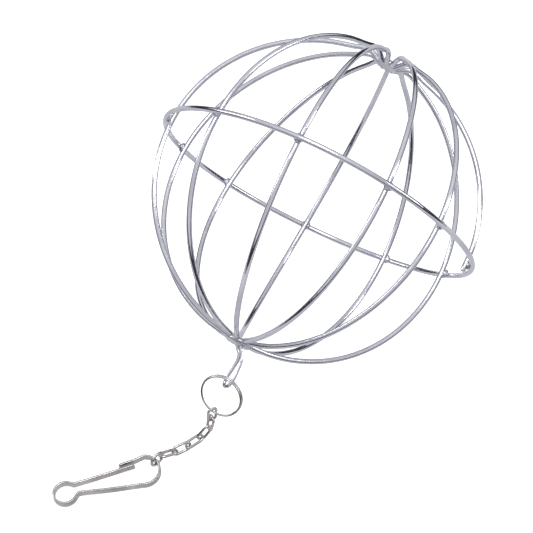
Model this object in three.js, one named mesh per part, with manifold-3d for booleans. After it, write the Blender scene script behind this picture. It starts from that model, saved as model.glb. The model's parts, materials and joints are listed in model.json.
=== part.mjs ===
// Hanging hay ball for small pets: a cage of eleven bent wires welded to a belt ring and to two
// pole buttons, with a welded hanger loop, a split ring, a short link chain and a sprung hook.
// It lies on its side: the ball rests on its belt and on two wires, the chain hangs from the
// split ring to the floor, and the hook lies beside it. Millimetres, +Z up, floor at Z = 0.
import * as THREE from 'three';
import { mergeVertices } from 'three/addons/utils/BufferGeometryUtils.js';
import Module from 'manifold-3d';

const wasm = await Module();
wasm.setup();

// ---- driving dimensions --------------------------------------------------------------------
const WIRE_R = 0.68; // cage wire, 1.35 mm stock
const BALL_R = 38.95; // wire centre line, for an 80 mm ball
const BELT_R = 40.5; // belt ring centre line, outside the wires
const BELT_OFFSET = -1.15; // the belt sits a little towards the dimpled pole
const BELT_TILT_X = 0.6; // degrees
const BELT_TILT_Y = 1.9;
const BELT_WARP = 0.5; // it is bent a little out of flat
// Angle of each wire round the ball, and how far it leans by the time it reaches a pole.
const WIRE_ANGLES = [28, 53, 86, 119, 157, 190, 219, 253, 287, 319, 352];
const WIRE_LEANS = [-1, -3, -2, 0, -5, -3, -4, -2, 1.5, 2, 1];
const SHORT_WIRE = 10; // this one stops at the belt, which leaves the filling gap
const HANGER_END = { reach: 3.75, weldR: 3.5, weldZ: 39.25, weldH: 1.7 };
const DIMPLE_END = { reach: 3.2, weldR: 2.85, weldZ: -37.7, weldH: 1.6 };
const SPOT_SIZE = 1.35;
const CUT_GAP = 0.15;

const BALL_DIP = 19.92; // the hanger pole points this far below level
const BALL_ROLL = 0;
const BALL_HEIGHT = 38.0;

const LOOP_WIRE_R = 0.475;
const LOOP_TURN = 42; // degrees, direction of the loop's width
// Centre line of the loop: height above the hanger pole, sideways offset x and y, half width.
const LOOP_STATIONS = [
  [1.64, 1.0, 0, 0.75],
  [2.7, 1.9, -0.25, 0.58],
  [4.4, 2.35, -0.6, 0.85],
  [6.6, 2.3, -1.0, 1.25],
  [8.8, 2.15, -1.35, 1.55],
];
const LOOP_TIP = [10.9, 2.0, -1.65];

const SPLIT_TOP = new THREE.Vector3(2.34, -44.7, 20.25); // where it hangs in the loop
const SPLIT_BOTTOM = new THREE.Vector3(0.0, -49.6, 11.5); // where the chain hangs in it
const SPLIT_FACING = new THREE.Vector3(0.05, -0.9, 0.43);
const SPLIT_WIRE_R = 0.29;
const SPLIT_PITCH = 0.63; // from one turn to the next
const SPLIT_SWEEP = 560; // degrees of wire
const SPLIT_START = -300; // from the lowest point

const CHAIN_PITCH = 3.57;
const CHAIN_WIRE_R = 0.38;
const LINK_HALF_WIDTH = 1.05;
const LINK_SLOPES = [-85.5, -75, -47, -17, 0, 15]; // from the split ring down to the hook
const LINK_ROLLS = [0, 87, -8, 76, -26, 62];
const LINK_GAP = 0.24;
const END_RING_R = 1.85;

const HOOK_PLACE = new THREE.Vector3(-21.9, -81.3, 0.17); // centre of the hook's eye
const HOOK_HEADING = 42;
const HOOK_LIFT = 3.0; // the bend stands on the end ring
const STRIP_T = 0.55;
const STRIP_H = 1.9;
const EYE_R = 2.8;
const BEND = { x: 19.2, y: 1.6, r: 3.85 };
const BEND_CHAIN_ANGLE = 35; // where the end ring sits on the bend
const ARM_ROOT = [2.62, 1.95];
const ARM_TIP = [17.2, 3.5];

const SIDES = 6;
const rad = THREE.MathUtils.degToRad;

// ---- materials -----------------------------------------------------------------------------
const chrome = () => new THREE.MeshStandardMaterial({ color: 0xc9cbd3, roughness: 0.12, metalness: 1 });
const weldMetal = () => new THREE.MeshStandardMaterial({ color: 0xb4b6bf, roughness: 0.3, metalness: 1 });
const nickel = () => new THREE.MeshStandardMaterial({ color: 0xbcb8b6, roughness: 0.22, metalness: 1 });

// ---- shape helpers -------------------------------------------------------------------------
function wireSection(radius) {
  const shape = new THREE.Shape();
  for (let i = 0; i < SIDES; i += 1) {
    const a = (2 * Math.PI * (i + 0.5)) / SIDES;
    const x = radius * Math.cos(a);
    const y = radius * Math.sin(a);
    if (i === 0) shape.moveTo(x, y);
    else shape.lineTo(x, y);
  }
  shape.closePath();
  return shape;
}

function tube(curve, radius, steps) {
  return new THREE.ExtrudeGeometry(wireSection(radius), {
    steps,
    extrudePath: curve,
    bevelEnabled: false,
  });
}

function toSolid(geometry) {
  const bare = geometry.clone();
  bare.deleteAttribute('normal');
  bare.deleteAttribute('uv');
  const merged = mergeVertices(bare, 1e-4);
  return new wasm.Manifold(new wasm.Mesh({
    numProp: 3,
    vertProperties: new Float32Array(merged.attributes.position.array),
    triVerts: new Uint32Array(merged.index.array),
  }));
}

function fromSolid(solid) {
  const mesh = solid.getMesh();
  const geometry = new THREE.BufferGeometry();
  geometry.setAttribute('position', new THREE.BufferAttribute(mesh.vertProperties, 3));
  geometry.setIndex(new THREE.BufferAttribute(mesh.triVerts, 1));
  return geometry;
}

function named(name, geometry, material) {
  const mesh = new THREE.Mesh(geometry, material);
  mesh.name = name;
  return mesh;
}

const numbered = (stem, i) => `${stem}_${String(i + 1).padStart(2, '0')}`;

// ---- the ball, in its own frame: +Z through the hanger pole ----------------------------------
function onWire(index, latitude) {
  const s = Math.sin(latitude);
  const a = rad(WIRE_ANGLES[index] + WIRE_LEANS[index] * s);
  const r = BALL_R * Math.cos(latitude);
  return new THREE.Vector3(r * Math.cos(a), r * Math.sin(a), BALL_R * s);
}

// Near the dimpled pole the wires turn over a hump and dip into the weld.
function humpPoint(index, reach, z) {
  const a = rad(WIRE_ANGLES[index] - WIRE_LEANS[index]);
  return new THREE.Vector3(reach * Math.cos(a), reach * Math.sin(a), z);
}

function wireCurve(index) {
  const start = index === SHORT_WIRE ? Math.asin(beltHeight(index) / BALL_R) + 0.05
    : Math.acos(HANGER_END.reach / BALL_R);
  const last = rad(-76);
  const count = index === SHORT_WIRE ? 9 : 17;
  const points = [];
  for (let i = 0; i < count; i += 1) {
    points.push(onWire(index, start + ((last - start) * i) / (count - 1)));
  }
  points.push(humpPoint(index, 7.4, -38.55));
  points.push(humpPoint(index, 5.7, -38.75));
  points.push(humpPoint(index, 4.3, -38.35));
  points.push(humpPoint(index, DIMPLE_END.reach, -37.75));
  return new THREE.CatmullRomCurve3(points);
}

function beltHeight(index) {
  const a = rad(WIRE_ANGLES[index]);
  const tilt = Math.sin(a) * Math.tan(rad(BELT_TILT_X)) - Math.cos(a) * Math.tan(rad(BELT_TILT_Y));
  return BELT_OFFSET + BELT_R * tilt + BELT_WARP * Math.cos(2 * a);
}

function beltRing(radius) {
  const geometry = new THREE.TorusGeometry(BELT_R, radius, SIDES, 72);
  const position = geometry.attributes.position;
  for (let i = 0; i < position.count; i += 1) {
    const a = Math.atan2(position.getY(i), position.getX(i));
    position.setZ(i, position.getZ(i) + BELT_WARP * Math.cos(2 * a));
  }
  geometry.rotateX(rad(BELT_TILT_X));
  geometry.rotateY(rad(BELT_TILT_Y));
  geometry.translate(0, 0, BELT_OFFSET);
  return geometry;
}

// A weld bead fills the corners where a wire crosses the belt.
function spotWeld(index, beltCutter) {
  const height = beltHeight(index);
  const a = rad(WIRE_ANGLES[index] + (WIRE_LEANS[index] * height) / BALL_R);
  const bead = new THREE.SphereGeometry(1, 10, 8);
  bead.scale(0.95, SPOT_SIZE, SPOT_SIZE);
  bead.rotateZ(a);
  const r = (BALL_R + BELT_R) / 2;
  bead.translate(r * Math.cos(a), r * Math.sin(a), height);
  const wireCutter = toSolid(tube(wireCurve(index), WIRE_R + CUT_GAP, index === SHORT_WIRE ? 22 : 40));
  return fromSolid(toSolid(bead).subtract(beltCutter).subtract(wireCutter));
}

function button({ weldR, weldZ, weldH }) {
  const h = weldH / 2;
  const profile = [
    new THREE.Vector2(0, -h),
    new THREE.Vector2(weldR * 0.72, -h),
    new THREE.Vector2(weldR, -h * 0.4),
    new THREE.Vector2(weldR, h * 0.4),
    new THREE.Vector2(weldR * 0.72, h),
    new THREE.Vector2(0, h),
  ];
  const geometry = new THREE.LatheGeometry(profile, 20);
  geometry.rotateX(Math.PI / 2);
  geometry.translate(0, 0, weldZ);
  return geometry;
}

function hangerLoop() {
  const wide = new THREE.Vector3(Math.cos(rad(LOOP_TURN)), Math.sin(rad(LOOP_TURN)), 0);
  const along = ([h, x, y], side) => new THREE.Vector3(x, y, BALL_R + h).addScaledVector(wide, side);
  const left = LOOP_STATIONS.map((s) => along(s, -s[3]));
  const right = LOOP_STATIONS.map((s) => along(s, s[3])).reverse();
  const shoulder = [LOOP_TIP[0] - 0.4, LOOP_TIP[1], LOOP_TIP[2]];
  const points = [...left, along(shoulder, -1.05), along(LOOP_TIP, 0), along(shoulder, 1.05), ...right];
  return tube(new THREE.CatmullRomCurve3(points), LOOP_WIRE_R, 44);
}

function ball() {
  const group = new THREE.Group();
  WIRE_ANGLES.forEach((_, i) => {
    const name = i === SHORT_WIRE ? 'short_wire' : numbered('wire', i);
    group.add(named(name, tube(wireCurve(i), WIRE_R, i === SHORT_WIRE ? 22 : 40), chrome()));
  });
  group.add(named('belt_ring', beltRing(WIRE_R), chrome()));
  const beltCutter = toSolid(beltRing(WIRE_R + CUT_GAP));
  WIRE_ANGLES.forEach((_, i) => {
    group.add(named(numbered('spot_weld', i), spotWeld(i, beltCutter), weldMetal()));
  });
  group.add(named('hanger_pole_weld', button(HANGER_END), weldMetal()));
  group.add(named('dimple_pole_weld', button(DIMPLE_END), weldMetal()));
  group.add(named('hanger_loop', hangerLoop(), chrome()));
  group.rotation.set(rad(90 + BALL_DIP), rad(BALL_ROLL), 0, 'YXZ');
  group.position.z = BALL_HEIGHT;
  return group;
}

// ---- split ring: one and a half turns of wire -------------------------------------------------
class SplitRingCurve extends THREE.Curve {
  getPoint(t, target = new THREE.Vector3()) {
    const turn = rad(SPLIT_START + t * SPLIT_SWEEP);
    const r = SPLIT_TOP.distanceTo(SPLIT_BOTTOM) / 2;
    const rise = (SPLIT_PITCH * SPLIT_SWEEP * (t - 0.5)) / 360;
    return target.set(r * Math.cos(turn), r * Math.sin(turn), rise);
  }
}

// Puts a mesh at a point with its X and Z axes along the two directions given.
function place(mesh, origin, xAxis, zAxis) {
  const x = xAxis.clone().normalize();
  const y = zAxis.clone().cross(x).normalize();
  const z = x.clone().cross(y);
  mesh.matrixAutoUpdate = false;
  mesh.matrix.makeBasis(x, y, z).setPosition(origin);
  return mesh;
}

function splitRing() {
  const mesh = named('split_ring', tube(new SplitRingCurve(), SPLIT_WIRE_R, 60), nickel());
  const centre = SPLIT_TOP.clone().add(SPLIT_BOTTOM).multiplyScalar(0.5);
  return place(mesh, centre, SPLIT_BOTTOM.clone().sub(SPLIT_TOP), SPLIT_FACING);
}

// ---- chain ------------------------------------------------------------------------------------
function linkGeometry() {
  const geometry = new THREE.TorusGeometry(LINK_HALF_WIDTH, CHAIN_WIRE_R, SIDES, 14);
  const stretch = (CHAIN_PITCH + 2 * CHAIN_WIRE_R + LINK_GAP) / 2 - LINK_HALF_WIDTH;
  const position = geometry.attributes.position;
  for (let i = 0; i < position.count; i += 1) {
    position.setX(i, position.getX(i) + stretch * Math.sign(position.getX(i)));
  }
  return geometry;
}

function hookFrame() {
  const turn = new THREE.Matrix4().makeRotationZ(rad(HOOK_HEADING));
  const lift = new THREE.Matrix4().makeRotationY(-rad(HOOK_LIFT));
  return turn.multiply(lift).setPosition(HOOK_PLACE);
}

// The end ring hangs round the strip of the hook's bend, in an upright plane.
function endRing() {
  const a = rad(BEND_CHAIN_ANGLE);
  const inHook = new THREE.Vector3(BEND.x + BEND.r * Math.cos(a), BEND.y + BEND.r * Math.sin(a), 0);
  const onBend = inHook.applyMatrix4(hookFrame()).setZ(0);
  const out = new THREE.Vector3(Math.cos(a), Math.sin(a), 0);
  out.applyAxisAngle(new THREE.Vector3(0, 0, 1), rad(HOOK_HEADING));
  const centre = onBend.clone().addScaledVector(out, 0.6).setZ(END_RING_R + CHAIN_WIRE_R + 0.05);
  const inside = END_RING_R - CHAIN_WIRE_R - LINK_GAP / 2;
  const pull = centre.clone().addScaledVector(out, inside);
  const mesh = named('end_ring', new THREE.TorusGeometry(END_RING_R, CHAIN_WIRE_R, SIDES, 18), nickel());
  const level = out.clone().cross(new THREE.Vector3(0, 0, 1));
  return { mesh: place(mesh, centre, out, level), pull };
}

function chain() {
  const group = new THREE.Group();
  const end = endRing();
  group.add(end.mesh);
  const ahead = end.pull.clone().sub(SPLIT_BOTTOM).setZ(0).normalize();
  const side = new THREE.Vector3(0, 0, 1).cross(ahead);
  const joint = SPLIT_BOTTOM.clone().add(new THREE.Vector3(0, 0, SPLIT_WIRE_R + LINK_GAP / 2));
  LINK_SLOPES.forEach((slope, i) => {
    const along = ahead.clone().multiplyScalar(Math.cos(rad(slope))).setZ(Math.sin(rad(slope)));
    const roll = rad(LINK_ROLLS[i]);
    const across = side.clone().cross(along).multiplyScalar(-Math.cos(roll));
    across.addScaledVector(side, Math.sin(roll));
    const centre = joint.clone().addScaledVector(along, CHAIN_PITCH / 2);
    const link = named(numbered('chain_link', i), linkGeometry(), nickel());
    group.add(place(link, centre, along, along.clone().cross(across)));
    joint.addScaledVector(along, CHAIN_PITCH);
  });
  return group;
}

// ---- hook: a flat strip on edge, bent into an eye, a back, a bend and a lip ---------------------
// Thickens a centre line into an outline and stands it up to the strip's height.
function strip(line) {
  const sides = [[], []];
  line.forEach((p, i) => {
    const before = line[Math.max(i - 1, 0)];
    const after = line[Math.min(i + 1, line.length - 1)];
    const a = p.clone().sub(before).normalize();
    const b = after.clone().sub(p).normalize();
    const t = a.clone().add(b).normalize();
    const c = Math.max(0.5, t.dot(i === 0 ? b : a));
    const n = new THREE.Vector2(-t.y, t.x).multiplyScalar(STRIP_T / 2 / c);
    sides[0].push(p.clone().add(n));
    sides[1].unshift(p.clone().sub(n));
  });
  const shape = new THREE.Shape([...sides[0], ...sides[1]]);
  return new THREE.ExtrudeGeometry(shape, { depth: STRIP_H, bevelEnabled: false });
}

function arc(x, y, r, from, to, count) {
  return Array.from({ length: count + 1 }, (_, i) => {
    const a = rad(from + ((to - from) * i) / count);
    return new THREE.Vector2(x + r * Math.cos(a), y + r * Math.sin(a));
  });
}

function hook() {
  const group = new THREE.Group();
  const body = [
    ...arc(0, 0, EYE_R, 44, 318, 18),
    new THREE.Vector2(2.75, -1.0),
    new THREE.Vector2(3.3, -0.62),
    new THREE.Vector2(10.6, -1.55),
    ...arc(BEND.x, BEND.y, BEND.r, -105, 82, 13),
    new THREE.Vector2(17.4, 4.72),
    new THREE.Vector2(14.1, 4.35),
    new THREE.Vector2(13.75, 4.1),
  ];
  const arm = [
    new THREE.Vector2(ARM_ROOT[0], ARM_ROOT[1]),
    new THREE.Vector2(6.5, 2.25),
    new THREE.Vector2(ARM_TIP[0], ARM_TIP[1]),
  ];
  group.add(named('hook_body', strip(body), nickel()));
  group.add(named('hook_spring_arm', strip(arm), nickel()));
  group.matrixAutoUpdate = false;
  group.matrix.copy(hookFrame());
  return group;
}

// ---- the whole object, moved so that its bounding box stands centred on the origin --------------
const group = new THREE.Group();
group.add(ball());
group.add(splitRing());
group.add(chain());
group.add(hook());
group.updateMatrixWorld(true);
const box = new THREE.Box3().setFromObject(group, true);
group.position.set(-(box.min.x + box.max.x) / 2, -(box.min.y + box.max.y) / 2, -box.min.z);
group.updateMatrixWorld(true);

export default group;
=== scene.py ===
"""Looks for a hanging hay ball: polished round wire, weld beads, split ring, link chain and hook.

The shapes follow the frame's own dimensions, but the round wires are a little slimmer than its
six-sided ones, which keeps them clear of each other as the joints move. Lengths are in
millimetres until a mesh is made.
"""
import json
import math

import bpy
from mathutils import Matrix, Vector, noise


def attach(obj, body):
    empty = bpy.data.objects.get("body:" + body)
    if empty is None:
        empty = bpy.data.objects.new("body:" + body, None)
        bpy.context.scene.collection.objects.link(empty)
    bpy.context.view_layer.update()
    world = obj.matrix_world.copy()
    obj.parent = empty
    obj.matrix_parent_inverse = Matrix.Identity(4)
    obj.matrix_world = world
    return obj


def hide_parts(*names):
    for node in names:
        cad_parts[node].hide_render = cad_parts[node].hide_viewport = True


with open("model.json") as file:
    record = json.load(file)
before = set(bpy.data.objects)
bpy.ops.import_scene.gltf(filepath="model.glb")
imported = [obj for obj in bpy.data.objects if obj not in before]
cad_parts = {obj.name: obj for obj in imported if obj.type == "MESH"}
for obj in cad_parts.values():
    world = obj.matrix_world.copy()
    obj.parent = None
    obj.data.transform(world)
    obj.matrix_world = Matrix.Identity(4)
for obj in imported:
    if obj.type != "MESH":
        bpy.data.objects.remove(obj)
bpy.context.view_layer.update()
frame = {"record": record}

# ---- dimensions, as in the frame -----------------------------------------------------------
WIRE_R = 0.66
BALL_R = 38.95
BELT_R = 40.5
BELT_OFFSET = -1.15
BELT_TILT_X = 0.6
BELT_TILT_Y = 1.9
BELT_WARP = 0.5
WIRE_ANGLES = [28, 53, 86, 119, 157, 190, 219, 253, 287, 319, 352]
WIRE_LEANS = [-1, -3, -2, 0, -5, -3, -4, -2, 1.5, 2, 1]
SHORT_WIRE = 10
BALL_DIP = 19.92
BALL_HEIGHT = 38.0
WIRE_TOP_REACH = 2.4
WIRE_LOW_LATITUDE = -76
WIRE_INTURN = [(7.4, -38.55), (5.7, -38.75), (4.3, -38.35), (3.1, -37.7), (2.3, -37.3)]
SPOT_BEAD = (0.62, 1.12, 1.12)
SPOT_LUMP = 0.35
# weld radius, weld height, thickness, dome, noise seed
HANGER_BUTTON = (3.5, 39.2, 1.6, 0.1, 4.0)
DIMPLE_BUTTON = (2.9, -37.6, 1.7, 0.0, 9.0)

LOOP_WIRE_R = 0.43
LOOP_TURN = 42
LOOP_STATIONS = [
    (0.9, 0.6, 0.1, 0.9),
    (1.64, 1.0, 0.0, 0.75),
    (2.7, 1.9, -0.25, 0.58),
    (4.4, 2.35, -0.6, 0.85),
    (6.6, 2.3, -1.0, 1.25),
    (8.8, 2.15, -1.35, 1.55),
]
LOOP_TIP = (10.9, 2.0, -1.65)
LOOP_SHOULDER = 1.05
LOOP_SHOULDER_DROP = 0.4

SPLIT_TOP = Vector((2.34, -44.7, 20.25))
SPLIT_BOTTOM = Vector((0.0, -49.6, 11.5))
SPLIT_FACING = Vector((0.05, -0.9, 0.43))
SPLIT_WIRE_R = 0.29  # the frame's, which sets where the chain hangs
SPLIT_ROUND_R = 0.265  # the visible wire
SPLIT_PITCH = 0.63
SPLIT_SWEEP = 560
SPLIT_START = -300

CHAIN_PITCH = 3.57
CHAIN_WIRE_R = 0.345  # the visible wire
LINK_HALF_WIDTH = 1.05
LINK_LENGTH_R = 0.38  # the frame's, which sets how long a link is
LINK_SLOPES = [-85.5, -75, -47, -17, 0, 15]
LINK_ROLLS = [0, 87, -8, 76, -26, 62]
LINK_GAP = 0.24
END_RING_R = 1.85

HOOK_PLACE = Vector((-21.9, -81.3, 0.17))
HOOK_HEADING = 42
HOOK_LIFT = 3.0
STRIP_T = 0.53
STRIP_H = 1.9
STRIP_WORN = 0.16
EYE_R = 2.8
BEND_X, BEND_Y, BEND_R = 19.2, 1.6, 3.85
BEND_CHAIN_ANGLE = 35

FLOOR_HALF = 3.0
SURROUND_R = 0.42
SURROUND_H = 0.12
# height of the direction, from 0 straight down to 1 straight up, and its brightness
STUDIO_TONES = [
    (0.0, 0.70),
    (0.22, 0.66),
    (0.37, 0.82),
    (0.44, 0.02),
    (0.56, 0.04),
    (0.64, 0.80),
    (0.84, 0.66),
    (0.95, 0.92),
]
CAMERA_LENS = 136.05
CAMERA_PLACE = Vector((145.74, -252.46, 420.39))
CAMERA_RIGHT = Vector((0.8602, 0.5094, -0.0225))
CAMERA_FORWARD = Vector((-0.3109, 0.4891, -0.8149))

joints = {j["name"]: j for j in frame["record"]["behaviour"]["joints"]}
SHIFT = Vector(joints["split_ring_swing"]["pos_m"]) * 1000 - SPLIT_TOP


# ---- materials -----------------------------------------------------------------------------
def metal(name, light, dark, rough_low, rough_high, grain, bump):
    """Plated metal: cloudy tint, patchy polish, fine surface grain."""
    material = bpy.data.materials.new(name)
    material.use_nodes = True
    nodes, links = material.node_tree.nodes, material.node_tree.links
    shader = nodes["Principled BSDF"]
    shader.inputs["Metallic"].default_value = 1.0
    place = nodes.new("ShaderNodeTexCoord")

    def cloud(scale, detail):
        texture = nodes.new("ShaderNodeTexNoise")
        texture.inputs["Scale"].default_value = scale
        texture.inputs["Detail"].default_value = detail
        links.new(place.outputs["Object"], texture.inputs["Vector"])
        return texture.outputs["Fac"]

    patches = cloud(grain * 0.12, 5)
    tint = nodes.new("ShaderNodeValToRGB")
    tint.color_ramp.elements[0].position = 0.32
    tint.color_ramp.elements[0].color = (*dark, 1)
    tint.color_ramp.elements[1].position = 0.62
    tint.color_ramp.elements[1].color = (*light, 1)
    links.new(patches, tint.inputs["Fac"])
    links.new(tint.outputs["Color"], shader.inputs["Base Color"])

    polish = nodes.new("ShaderNodeMapRange")
    polish.inputs["From Min"].default_value = 0.3
    polish.inputs["From Max"].default_value = 0.7
    polish.inputs["To Min"].default_value = rough_low
    polish.inputs["To Max"].default_value = rough_high
    links.new(cloud(grain * 0.4, 6), polish.inputs["Value"])
    links.new(polish.outputs["Result"], shader.inputs["Roughness"])

    relief = nodes.new("ShaderNodeBump")
    relief.inputs["Strength"].default_value = bump
    relief.inputs["Distance"].default_value = 0.0002
    links.new(cloud(grain, 4), relief.inputs["Height"])
    links.new(relief.outputs["Normal"], shader.inputs["Normal"])
    return material


CHROME = metal("chrome_wire", (0.78, 0.79, 0.86), (0.66, 0.67, 0.75), 0.06, 0.15, 1100, 0.10)
WELD = metal("weld_metal", (0.74, 0.75, 0.81), (0.42, 0.42, 0.46), 0.16, 0.34, 1500, 0.45)
NICKEL = metal("nickel", (0.70, 0.67, 0.675), (0.44, 0.42, 0.425), 0.14, 0.30, 1400, 0.25)
SLOTS = {"chrome_wire": CHROME, "weld_metal": WELD, "nickel": NICKEL}


# ---- mesh helpers --------------------------------------------------------------------------
def piece(name, vertices, faces, slot, body, node, smooth=True):
    mesh = bpy.data.meshes.new(name)
    mesh.from_pydata([(v + SHIFT) * 0.001 for v in vertices], [], faces)
    mesh.validate()
    mesh.polygons.foreach_set("use_smooth", [smooth] * len(mesh.polygons))
    mesh.materials.append(SLOTS[slot])
    made = bpy.data.objects.new(name, mesh)
    bpy.context.scene.collection.objects.link(made)
    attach(made, body)
    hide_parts(node)
    return made


def centripetal(points, steps):
    """A smooth curve through the points, with the same number of steps in each span."""
    p = [points[0] * 2 - points[1], *points, points[-1] * 2 - points[-2]]
    out = []
    for i in range(1, len(p) - 2):
        t = [0.0]
        for k in range(3):
            t.append(t[-1] + max(1e-6, (p[i + k] - p[i + k - 1]).length) ** 0.5)
        for s in range(steps):
            u = t[1] + (t[2] - t[1]) * s / steps
            a = [p[i + k - 1].lerp(p[i + k], (u - t[k]) / (t[k + 1] - t[k])) for k in range(3)]
            b = [a[k].lerp(a[k + 1], (u - t[k]) / (t[k + 2] - t[k])) for k in range(2)]
            out.append(b[0].lerp(b[1], (u - t[1]) / (t[2] - t[1])))
    out.append(points[-1].copy())
    return out


def rings_to_mesh(rings, closed):
    """Joins rings of equal size with quads, and closes both ends of an open run."""
    n = len(rings[0])
    vertices = [v for ring in rings for v in ring]
    count = len(rings)
    faces = []
    for i in range(count if closed else count - 1):
        a, b = i * n, ((i + 1) % count) * n
        faces += [(a + k, a + (k + 1) % n, b + (k + 1) % n, b + k) for k in range(n)]
    if not closed:
        faces.append(tuple(reversed(range(n))))
        faces.append(tuple(range((count - 1) * n, count * n)))
    return vertices, faces


def carried_frames(points, closed):
    """A direction across the curve at each point, carried along without twist."""
    n = len(points)
    tangents = []
    for i in range(n):
        before = points[i - 1] if closed or i else points[0]
        after = points[(i + 1) % n] if closed or i < n - 1 else points[-1]
        tangents.append((after - before).normalized())
    across = tangents[0].orthogonal().normalized()
    frames = [across]
    for i in range(1, n):
        across = across - tangents[i] * across.dot(tangents[i])
        across.normalize()
        frames.append(across.copy())
    if closed:
        last = frames[-1] - tangents[0] * frames[-1].dot(tangents[0])
        angle = last.angle(frames[0])
        if tangents[0].dot(last.cross(frames[0])) < 0:
            angle = -angle
        frames = [Matrix.Rotation(angle * i / n, 3, tangents[i]) @ f for i, f in enumerate(frames)]
    return tangents, frames


def round_wire(points, radius, closed=False, sides=16):
    """A round wire along the points, with softly rounded ends."""
    tangents, frames = carried_frames(points, closed)
    rings = []

    def ring(centre, tangent, across, r):
        side = tangent.cross(across)
        turns = (2 * math.pi * k / sides for k in range(sides))
        rings.append([centre + (across * math.cos(a) + side * math.sin(a)) * r for a in turns])

    if not closed:
        for size, ahead in ((0.55, 0.34), (0.85, 0.22), (0.97, 0.08)):
            ring(points[0] - tangents[0] * ahead * radius, tangents[0], frames[0], size * radius)
    for centre, tangent, across in zip(points, tangents, frames):
        ring(centre, tangent, across, radius)
    if not closed:
        for size, ahead in ((0.97, 0.08), (0.85, 0.22), (0.55, 0.34)):
            ring(points[-1] + tangents[-1] * ahead * radius, tangents[-1], frames[-1], size * radius)
    return rings_to_mesh(rings, closed)


# ---- the ball's own frame: +Z through the hanger pole --------------------------------------
BALL = Matrix.Translation((0, 0, BALL_HEIGHT)) @ Matrix.Rotation(math.radians(90 + BALL_DIP), 4, "X")


def on_wire(index, latitude):
    s = math.sin(latitude)
    a = math.radians(WIRE_ANGLES[index] + WIRE_LEANS[index] * s)
    r = BALL_R * math.cos(latitude)
    return Vector((r * math.cos(a), r * math.sin(a), BALL_R * s))


def belt_height(a):
    tilt = math.sin(a) * math.tan(math.radians(BELT_TILT_X))
    tilt -= math.cos(a) * math.tan(math.radians(BELT_TILT_Y))
    return BELT_OFFSET + BELT_R * tilt + BELT_WARP * math.cos(2 * a)


def wire_points(index):
    pole = math.acos(WIRE_TOP_REACH / BALL_R)
    start = pole
    if index == SHORT_WIRE:
        start = math.asin(belt_height(math.radians(WIRE_ANGLES[index])) / BALL_R) + 0.05
    last = math.radians(WIRE_LOW_LATITUDE)
    count = 9 if index == SHORT_WIRE else 18
    points = [on_wire(index, start + (last - start) * i / (count - 1)) for i in range(count)]
    a = math.radians(WIRE_ANGLES[index] - WIRE_LEANS[index])
    for reach, z in WIRE_INTURN:
        points.append(Vector((reach * math.cos(a), reach * math.sin(a), z)))
    return [BALL @ p for p in centripetal(points, 5)]


for i in range(len(WIRE_ANGLES)):
    node = "short_wire" if i == SHORT_WIRE else f"wire_{i + 1:02d}"
    piece("polished_" + node, *round_wire(wire_points(i), WIRE_R), "chrome_wire", "cage", node)

belt = []
for k in range(144):
    a = 2 * math.pi * k / 144
    belt.append(BALL @ Vector((BELT_R * math.cos(a), BELT_R * math.sin(a), belt_height(a))))
piece("polished_belt", *round_wire(belt, WIRE_R, closed=True), "chrome_wire", "cage", "belt_ring")


def bead(centre, axes, sizes, lump, seed):
    """A weld bead: a ball stretched along three axes, with an uneven skin."""
    rings = []
    rows, columns = 12, 20
    for r in range(1, rows):
        latitude = math.pi * (r / rows - 0.5)
        ring = []
        for c in range(columns):
            longitude = 2 * math.pi * c / columns
            unit = Vector((
                math.cos(latitude) * math.cos(longitude),
                math.cos(latitude) * math.sin(longitude),
                math.sin(latitude),
            ))
            unit *= 1 + lump * noise.noise(unit * 2.1 + Vector((seed * 3.7, seed, 1.3)))
            ring.append(centre + sum((axes[k] * sizes[k] * unit[k] for k in range(3)), Vector()))
        rings.append(ring)
    return rings_to_mesh(rings, False)


for i, angle in enumerate(WIRE_ANGLES):
    height = belt_height(math.radians(angle))
    a = math.radians(angle + WIRE_LEANS[i] * height / BALL_R)
    out = Vector((math.cos(a), math.sin(a), 0))
    along = Vector((-math.sin(a), math.cos(a), 0))
    up = Vector((0, 0, 1))
    turn = BALL.to_3x3()
    centre = BALL @ (out * (BALL_R + BELT_R) / 2 + up * height)
    made = bead(centre, [turn @ out, turn @ along, turn @ up], SPOT_BEAD, SPOT_LUMP, i + 1)
    node = f"spot_weld_{i + 1:02d}"
    piece("bead_" + node, *made, "weld_metal", "cage", node)


def pole_button(weld_r, weld_z, weld_h, dome, seed):
    """A pressed weld button, domed outside, with an uneven rim where the wires run in."""
    rings = []
    columns = 44
    profile = [
        (0.06, -0.5), (0.4, -0.5), (0.75, -0.46), (0.93, -0.30), (1.0, 0.0),
        (0.94, 0.28), (0.80, 0.44), (0.55, 0.50), (0.3, 0.52), (0.06, 0.52),
    ]
    for r, h in profile:
        ring = []
        for c in range(columns):
            a = 2 * math.pi * c / columns
            edge = 1 + 0.09 * r * noise.noise(Vector((2.2 * math.cos(a), 2.2 * math.sin(a), seed)))
            radius = weld_r * r * edge
            rough = 0.14 * noise.noise(Vector((radius * math.cos(a), radius * math.sin(a), seed + h)))
            z = weld_z + weld_h * h + dome * (1 - r * r) + rough
            ring.append(BALL @ Vector((radius * math.cos(a), radius * math.sin(a), z)))
        rings.append(ring)
    return rings_to_mesh(rings, False)


button = pole_button(*HANGER_BUTTON)
piece("button_hanger_pole", *button, "weld_metal", "cage", "hanger_pole_weld")
button = pole_button(*DIMPLE_BUTTON)
piece("button_dimple_pole", *button, "weld_metal", "cage", "dimple_pole_weld")


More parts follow.
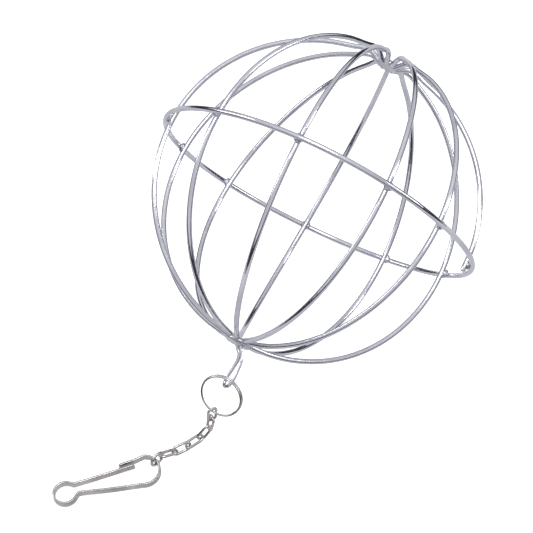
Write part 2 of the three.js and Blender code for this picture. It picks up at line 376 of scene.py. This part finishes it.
# ---- hanger loop ---------------------------------------------------------------------------
def loop_points():
    wide = Vector((math.cos(math.radians(LOOP_TURN)), math.sin(math.radians(LOOP_TURN)), 0))

    def along(h, x, y, side):
        return Vector((x, y, BALL_R + h)) + wide * side

    left = [along(h, x, y, -w) for h, x, y, w in LOOP_STATIONS]
    right = [along(h, x, y, w) for h, x, y, w in reversed(LOOP_STATIONS)]
    h, x, y = LOOP_TIP
    low = h - LOOP_SHOULDER_DROP
    tip = [along(low, x, y, -LOOP_SHOULDER), along(h, x, y, 0), along(low, x, y, LOOP_SHOULDER)]
    return [BALL @ p for p in centripetal(left + tip + right, 8)]


piece("polished_loop", *round_wire(loop_points(), LOOP_WIRE_R), "chrome_wire", "cage", "hanger_loop")


# ---- split ring ----------------------------------------------------------------------------
def basis(origin, x_axis, z_axis):
    x = x_axis.normalized()
    y = z_axis.cross(x).normalized()
    z = x.cross(y)
    return Matrix.Translation(origin) @ Matrix((x, y, z)).transposed().to_4x4()


def split_ring_points():
    place = basis((SPLIT_TOP + SPLIT_BOTTOM) / 2, SPLIT_BOTTOM - SPLIT_TOP, SPLIT_FACING)
    r = (SPLIT_TOP - SPLIT_BOTTOM).length / 2
    out = []
    for k in range(121):
        t = k / 120
        turn = math.radians(SPLIT_START + t * SPLIT_SWEEP)
        rise = SPLIT_PITCH * SPLIT_SWEEP * (t - 0.5) / 360
        out.append(place @ Vector((r * math.cos(turn), r * math.sin(turn), rise)))
    return out


wound = round_wire(split_ring_points(), SPLIT_ROUND_R)
piece("wound_split_ring", *wound, "nickel", "split_ring", "split_ring")


# ---- chain ---------------------------------------------------------------------------------
def hook_frame():
    turn = Matrix.Rotation(math.radians(HOOK_HEADING), 4, "Z")
    lift = Matrix.Rotation(math.radians(-HOOK_LIFT), 4, "Y")
    return Matrix.Translation(HOOK_PLACE) @ turn @ lift


def end_ring_place():
    a = math.radians(BEND_CHAIN_ANGLE)
    on_bend = hook_frame() @ Vector((BEND_X + BEND_R * math.cos(a), BEND_Y + BEND_R * math.sin(a), 0))
    heading = a + math.radians(HOOK_HEADING)
    out = Vector((math.cos(heading), math.sin(heading), 0))
    centre = Vector((on_bend.x, on_bend.y, END_RING_R + LINK_LENGTH_R + 0.05)) + out * 0.6
    pull = centre + out * (END_RING_R - LINK_LENGTH_R - LINK_GAP / 2)
    return basis(centre, out, out.cross(Vector((0, 0, 1)))), pull


def link_points(place):
    stretch = (CHAIN_PITCH + 2 * LINK_LENGTH_R + LINK_GAP) / 2 - LINK_HALF_WIDTH
    out = []
    for k in range(48):
        a = 2 * math.pi * (k + 0.5) / 48
        x = LINK_HALF_WIDTH * math.cos(a) + math.copysign(stretch, math.cos(a))
        out.append(place @ Vector((x, LINK_HALF_WIDTH * math.sin(a), 0)))
    return out


ring_place, pull = end_ring_place()
ring = [2 * math.pi * k / 48 for k in range(48)]
ring = [ring_place @ Vector((END_RING_R * math.cos(a), END_RING_R * math.sin(a), 0)) for a in ring]
piece("round_end_ring", *round_wire(ring, CHAIN_WIRE_R, closed=True), "nickel", "end_ring", "end_ring")

ahead = pull - SPLIT_BOTTOM
ahead.z = 0
ahead.normalize()
side = Vector((0, 0, 1)).cross(ahead)
joint = SPLIT_BOTTOM + Vector((0, 0, SPLIT_WIRE_R + LINK_GAP / 2))
for i, (slope, roll) in enumerate(zip(LINK_SLOPES, LINK_ROLLS)):
    along = ahead * math.cos(math.radians(slope)) + Vector((0, 0, math.sin(math.radians(slope))))
    across = side.cross(along) * -math.cos(math.radians(roll)) + side * math.sin(math.radians(roll))
    place = basis(joint + along * CHAIN_PITCH / 2, along, along.cross(across))
    node = f"chain_link_{i + 1:02d}"
    made = round_wire(link_points(place), CHAIN_WIRE_R, closed=True, sides=14)
    piece("bent_" + node, *made, "nickel", node, node)
    joint = joint + along * CHAIN_PITCH


# ---- hook ----------------------------------------------------------------------------------
def soften(line, rounds=2):
    """Cuts the corners of a line, keeping its two ends."""
    for _ in range(rounds):
        out = [line[0]]
        for a, b in zip(line, line[1:]):
            out += [a.lerp(b, 0.25), a.lerp(b, 0.75)]
        line = out + [line[-1]]
    return line


def strip(line):
    """A flat strip on edge along a line in the hook's plane, with worn round edges."""
    place = hook_frame()
    t, h, worn = STRIP_T / 2, STRIP_H / 2, STRIP_WORN
    section = []
    for sx, sz, start in ((1, 1, 0), (-1, 1, 90), (-1, -1, 180), (1, -1, 270)):
        for k in range(4):
            a = math.radians(start + 30 * k)
            section.append((sx * (t - worn) + worn * math.cos(a), sz * (h - worn) + worn * math.sin(a)))
    rings = []
    for i, p in enumerate(line):
        tangent = (line[min(i + 1, len(line) - 1)] - line[max(i - 1, 0)]).normalized()
        n = Vector((-tangent.y, tangent.x))
        rings.append([place @ Vector((p.x + n.x * x, p.y + n.y * x, h + z)) for x, z in section])

    def shrink(ring, step):
        middle = sum(ring, Vector()) / len(ring)
        return [middle + (v - middle) * 0.8 + step for v in ring]

    first = place.to_3x3() @ (line[0] - line[1]).normalized().to_3d() * 0.08
    last = place.to_3x3() @ (line[-1] - line[-2]).normalized().to_3d() * 0.08
    return rings_to_mesh([shrink(rings[0], first), *rings, shrink(rings[-1], last)], False)


def arc(x, y, r, start, end, count):
    angles = (math.radians(start + (end - start) * i / count) for i in range(count + 1))
    return [Vector((x + r * math.cos(a), y + r * math.sin(a))) for a in angles]


body_line = [
    Vector((2.45, 1.86)),
    *arc(0, 0, EYE_R, 48, 318, 40),
    Vector((2.75, -1.0)),
    Vector((3.3, -0.62)),
    Vector((6.9, -1.08)),
    Vector((10.6, -1.55)),
    *arc(BEND_X, BEND_Y, BEND_R, -105, 82, 30),
    Vector((17.4, 4.72)),
    Vector((14.1, 4.35)),
    Vector((13.75, 4.1)),
]
arm_line = [Vector((2.4, 1.9)), Vector((3.2, 1.98)), Vector((6.5, 2.25)), Vector((17.2, 3.5))]
piece("bent_hook_strip", *strip(soften(body_line)), "nickel", "hook_body", "hook_body")
piece("spring_strip", *strip(soften(arm_line)), "nickel", "hook_spring_arm", "hook_spring_arm")


# ---- floor, light and camera ---------------------------------------------------------------
def floor():
    mesh = bpy.data.meshes.new("floor")
    half = FLOOR_HALF
    corners = [(-half, -half, 0), (half, -half, 0), (half, half, 0), (-half, half, 0)]
    mesh.from_pydata(corners, [], [(0, 1, 2, 3)])
    made = bpy.data.objects.new("floor", mesh)
    made.location.z = -0.0002
    bpy.context.scene.collection.objects.link(made)
    material = bpy.data.materials.new("pale_floor")
    material.use_nodes = True
    shader = material.node_tree.nodes["Principled BSDF"]
    shader.inputs["Base Color"].default_value = (0.9, 0.9, 0.9, 1)
    shader.inputs["Roughness"].default_value = 0.9
    shader.inputs["Specular IOR Level"].default_value = 0.1
    shader.inputs["Emission Color"].default_value = (1, 1, 1, 1)
    shader.inputs["Emission Strength"].default_value = 0.6
    mesh.materials.append(material)
    made.visible_glossy = False


def area_light(name, location, size, power):
    data = bpy.data.lights.new(name, "AREA")
    data.shape = "RECTANGLE"
    data.size, data.size_y = size
    data.energy = power
    made = bpy.data.objects.new(name, data)
    made.location = location
    made.rotation_euler = (-Vector(location)).to_track_quat("-Z", "Y").to_euler()
    bpy.context.scene.collection.objects.link(made)


def dark_surround():
    """Black card round the table, seen only in the metal: it draws the dark lines along the wires."""
    corners, faces, count = [], [], 48
    for k in range(count):
        a = 2 * math.pi * k / count
        x, y = SURROUND_R * math.cos(a), SURROUND_R * math.sin(a)
        corners += [(x, y, 0.0), (x, y, SURROUND_H)]
        n = 2 * ((k + 1) % count)
        faces.append((2 * k, n, n + 1, 2 * k + 1))
    mesh = bpy.data.meshes.new("dark_surround")
    mesh.from_pydata(corners, [], faces)
    made = bpy.data.objects.new("dark_surround", mesh)
    bpy.context.scene.collection.objects.link(made)
    made.visible_camera = False
    made.visible_diffuse = False
    made.visible_shadow = False
    material = bpy.data.materials.new("black_card")
    material.use_nodes = True
    shader = material.node_tree.nodes["Principled BSDF"]
    shader.inputs["Base Color"].default_value = (0.02, 0.02, 0.025, 1)
    shader.inputs["Roughness"].default_value = 0.9
    mesh.materials.append(material)


def studio():
    world = bpy.data.worlds.new("studio")
    world.use_nodes = True
    nodes, links = world.node_tree.nodes, world.node_tree.links
    place = nodes.new("ShaderNodeTexCoord")
    split = nodes.new("ShaderNodeSeparateXYZ")
    ramp = nodes.new("ShaderNodeValToRGB")
    elements = ramp.color_ramp.elements
    while len(elements) < len(STUDIO_TONES):
        elements.new(0.5)
    for element, (position, tone) in zip(elements, STUDIO_TONES):
        element.position = position
        element.color = (tone, tone, tone * 1.02, 1)
    half = nodes.new("ShaderNodeMapRange")
    half.inputs["From Min"].default_value = -1
    links.new(place.outputs["Generated"], split.inputs["Vector"])
    links.new(split.outputs["Z"], half.inputs["Value"])
    links.new(half.outputs["Result"], ramp.inputs["Fac"])
    seen = nodes.new("ShaderNodeLightPath")
    mix = nodes.new("ShaderNodeMix")
    mix.data_type = "RGBA"
    mix.inputs["B"].default_value = (1, 1, 1, 1)
    links.new(seen.outputs["Is Camera Ray"], mix.inputs["Factor"])
    links.new(ramp.outputs["Color"], mix.inputs["A"])
    links.new(mix.outputs["Result"], nodes["Background"].inputs["Color"])
    nodes["Background"].inputs["Strength"].default_value = 0.9
    bpy.context.scene.world = world
    area_light("overhead", (0.05, -0.05, 0.95), (0.3, 0.3), 2.0)
    area_light("left", (-0.75, -0.2, 0.5), (0.12, 0.5), 1.1)
    area_light("right", (0.7, 0.35, 0.4), (0.12, 0.4), 0.9)


def camera():
    right = CAMERA_RIGHT.normalized()
    forward = CAMERA_FORWARD.normalized()
    up = right.cross(forward).normalized()
    data = bpy.data.cameras.new("camera")
    data.lens = CAMERA_LENS
    data.sensor_width = 36
    data.clip_start, data.clip_end = 0.01, 20
    made = bpy.data.objects.new("camera", data)
    turn = Matrix((right, up, -forward)).transposed().to_4x4()
    made.matrix_world = Matrix.Translation((CAMERA_PLACE + SHIFT) * 0.001) @ turn
    bpy.context.scene.collection.objects.link(made)
    bpy.context.scene.camera = made


floor()
dark_surround()
studio()
camera()
bpy.context.scene.view_settings.view_transform = "Standard"
